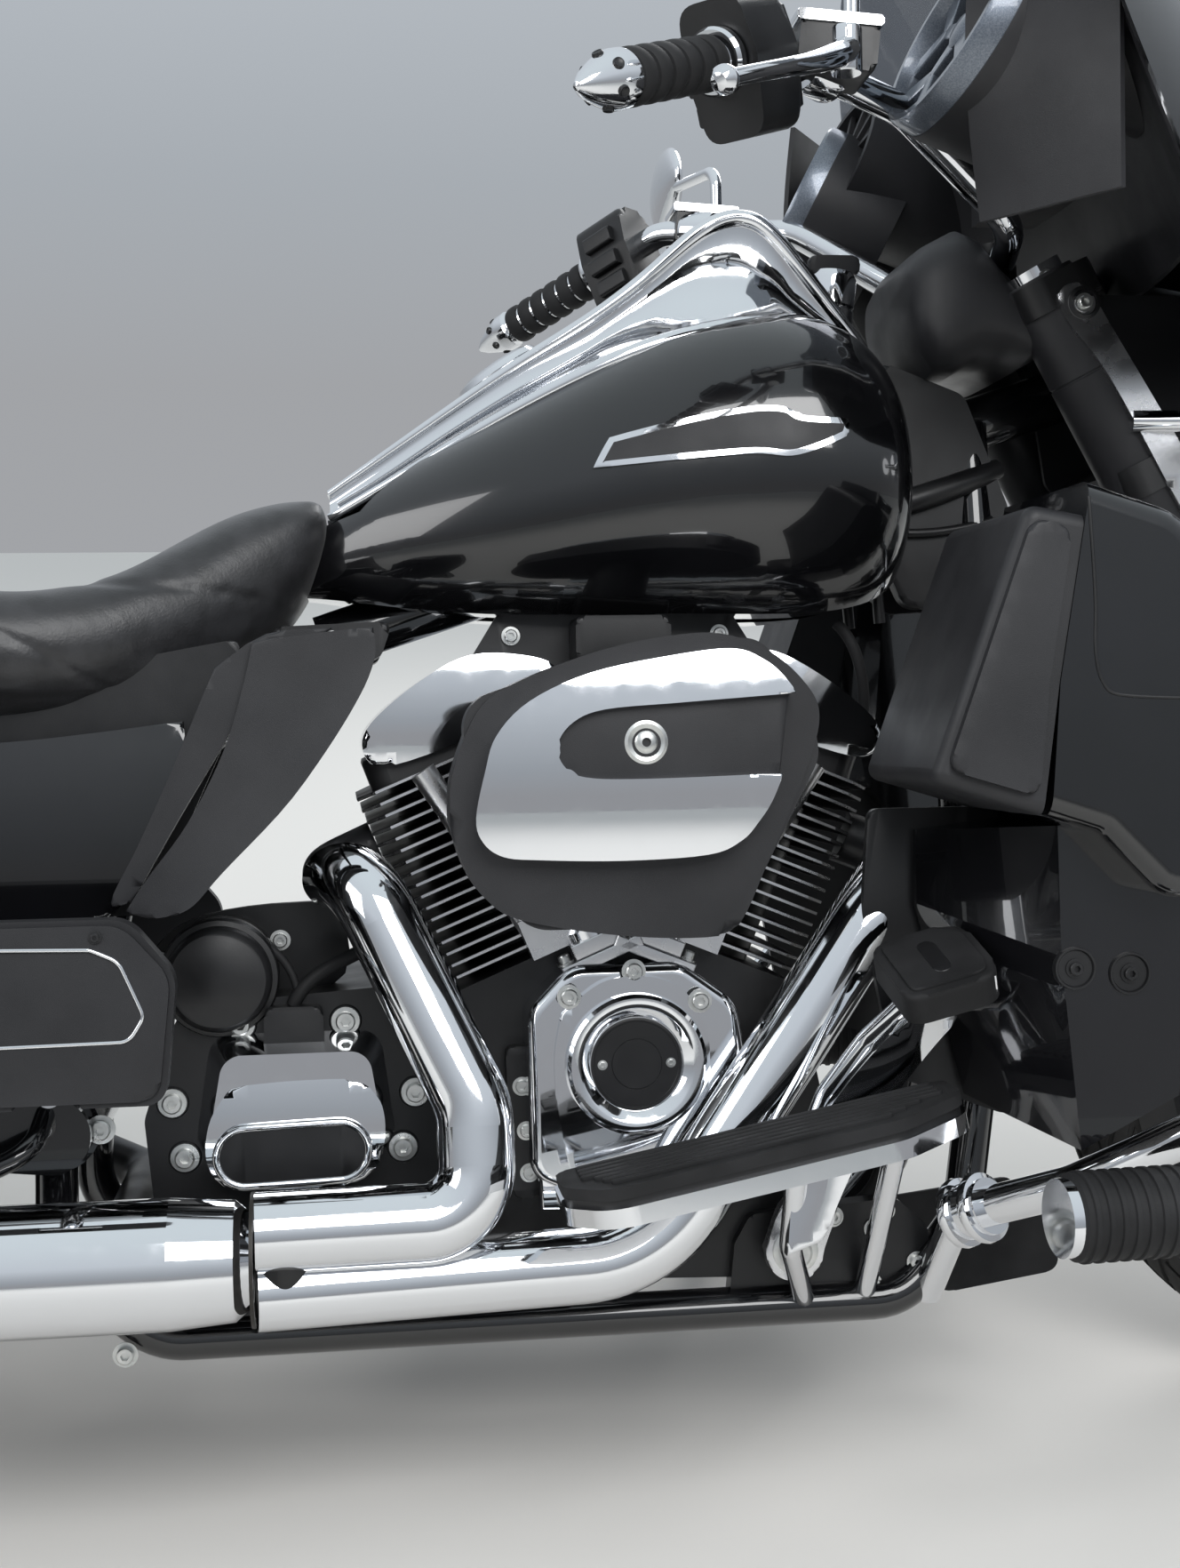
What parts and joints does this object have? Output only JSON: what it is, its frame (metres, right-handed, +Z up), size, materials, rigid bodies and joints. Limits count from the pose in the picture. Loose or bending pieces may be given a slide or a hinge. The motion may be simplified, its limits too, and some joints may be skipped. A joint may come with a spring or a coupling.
{
  "type": "touring cruiser motorcycle",
  "caption": "Touring cruiser motorcycle with a finned V-twin, fork-mounted fairing, lower fairings, saddlebags and a top box, parked on its side stand.",
  "frame": {"origin": "on the ground, under the middle of the box round the motorcycle parked on its side stand", "axes": "+X forward, +Y to the rider's left, +Z up from the ground; the motorcycle leans to +Y"},
  "size_m": [2.585, 1.0815, 1.456],
  "materials": {
    "gloss_black": "gloss",
    "gloss_black_moulding": "gloss",
    "satin_black": "satin",
    "black_moulding": "matte",
    "chrome": "polished",
    "bright_metal": "satin",
    "steel": "satin",
    "black_rubber": "matte",
    "tyre_rubber": "matte",
    "seat_leather": "satin",
    "tinted_screen": "gloss",
    "red_lens": "gloss",
    "lamp_chrome": "polished"
  },
  "bodies": {
    "chassis": {"air_cleaner": "chrome", "air_cleaner_backplate": "black_moulding", "console": "chrome", "crankcase": "satin_black", "cylinders": "satin_black", "engine_covers": "chrome", "exhaust_headers": "satin_black", "foot_controls": "chrome", "frame": "gloss_black", "fuel_tank": "gloss_black", "gearbox": "satin_black", "guards": "chrome", "heat_shields": "chrome", "horn": "chrome", "lower_fairings": "gloss_black_moulding", "mufflers": "chrome", "pushrod_tubes": "chrome", "rear_axle": "bright_metal", "rear_fender": "gloss_black", "rear_lamps": "red_lens", "rear_rack": "chrome", "rear_shocks": "satin_black", "rocker_boxes": "satin_black", "rocker_covers": "chrome", "saddlebags": "gloss_black_moulding", "seat": "seat_leather", "side_panels": "gloss_black_moulding", "swingarm": "gloss_black", "top_box": "gloss_black_moulding"},
    "fork": {"fork_legs": "chrome", "triple_clamps": "satin_black", "front_axle": "bright_metal", "front_fender": "gloss_black", "handlebar": "chrome", "grips": "black_rubber", "outer_fairing": "gloss_black_moulding", "inner_fairing": "black_moulding", "windshield": "tinted_screen", "fork_cap": "black_moulding", "front_lamps": "lamp_chrome", "mirrors": "chrome", "dash_pods": "black_moulding", "hand_levers": "chrome", "calipers": "satin_black"},
    "front_wheel": {"front_tyre": "tyre_rubber", "front_wheel": "gloss_black", "front_discs": "steel"},
    "rear_wheel": {"rear_tyre": "tyre_rubber", "rear_wheel": "gloss_black", "rear_disc_and_pulley": "steel"},
    "side_stand": {"side_stand": "satin_black"},
    "saddlebag_lid_left": {"saddlebag_lid_left": "gloss_black_moulding"},
    "saddlebag_lid_right": {"saddlebag_lid_right": "gloss_black_moulding"},
    "top_box_lid": {"top_box_lid": "gloss_black_moulding"},
    "storage_door_left": {"storage_door_left": "black_moulding"},
    "storage_door_right": {"storage_door_right": "black_moulding"},
    "rider_board_left": {"rider_board_left": "black_rubber"},
    "rider_board_right": {"rider_board_right": "black_rubber"},
    "passenger_board_left": {"passenger_board_left": "black_moulding"},
    "passenger_board_right": {"passenger_board_right": "black_moulding"}
  },
  "joints": [
    {"name": "steering", "type": "hinge", "parent": "chassis", "child": "fork", "pos_m": [0.69472, -0.0204, 0.90651], "axis": [-0.4384, 0.1561, 0.8851], "range_deg": [-32, 32]},
    {"name": "front_wheel_spin", "type": "hinge", "parent": "fork", "child": "front_wheel", "pos_m": [0.973, -0.12443, 0.31651], "axis": [0, 0.9848, -0.1736], "continuous": true},
    {"name": "rear_wheel_spin", "type": "hinge", "parent": "chassis", "child": "rear_wheel", "pos_m": [-0.652, -0.12443, 0.31651], "axis": [0, 0.9848, -0.1736], "continuous": true},
    {"name": "side_stand_fold", "type": "hinge", "parent": "chassis", "child": "side_stand", "pos_m": [0.333, 0.00941, 0.1081], "axis": [-0.0108, 0.4953, 0.8687], "range_deg": [0, 106]},
    {"name": "saddlebag_lid_left_hinge", "type": "hinge", "parent": "chassis", "child": "saddlebag_lid_left", "pos_m": [-0.752, 0.32708, 0.52761], "axis": [-1, 0, 0], "range_deg": [0, 80]},
    {"name": "saddlebag_lid_right_hinge", "type": "hinge", "parent": "chassis", "child": "saddlebag_lid_right", "pos_m": [-0.752, -0.47652, 0.66931], "axis": [1, 0, 0], "range_deg": [0, 80]},
    {"name": "top_box_lid_hinge", "type": "hinge", "parent": "chassis", "child": "top_box_lid", "pos_m": [-1.052, 0.26482, 0.88282], "axis": [-1, 0, 0], "range_deg": [0, 80]},
    {"name": "storage_door_left_hinge", "type": "hinge", "parent": "chassis", "child": "storage_door_left", "pos_m": [0.418, 0.21303, 0.50274], "axis": [0, -0.9848, 0.1736], "range_deg": [0, 45]},
    {"name": "storage_door_right_hinge", "type": "hinge", "parent": "chassis", "child": "storage_door_right", "pos_m": [0.418, -0.37785, 0.60692], "axis": [0, -0.9848, 0.1736], "range_deg": [0, 45]},
    {"name": "rider_board_left_hinge", "type": "hinge", "parent": "chassis", "child": "rider_board_left", "pos_m": [0.16, 0.08992, 0.20763], "axis": [0.9819, 0.0329, 0.1864], "range_deg": [0, 35]},
    {"name": "rider_board_right_hinge", "type": "hinge", "parent": "chassis", "child": "rider_board_right", "pos_m": [0.16, -0.36309, 0.28751], "axis": [-0.9819, -0.0329, -0.1864], "range_deg": [0, 35]},
    {"name": "passenger_board_left_hinge", "type": "hinge", "parent": "chassis", "child": "passenger_board_left", "pos_m": [-0.252, 0.1454, 0.30345], "axis": [-1, 0, 0], "range_deg": [0, 90]},
    {"name": "passenger_board_right_hinge", "type": "hinge", "parent": "chassis", "child": "passenger_board_right", "pos_m": [-0.252, -0.38246, 0.39653], "axis": [1, 0, 0], "range_deg": [0, 90]}
  ]
}
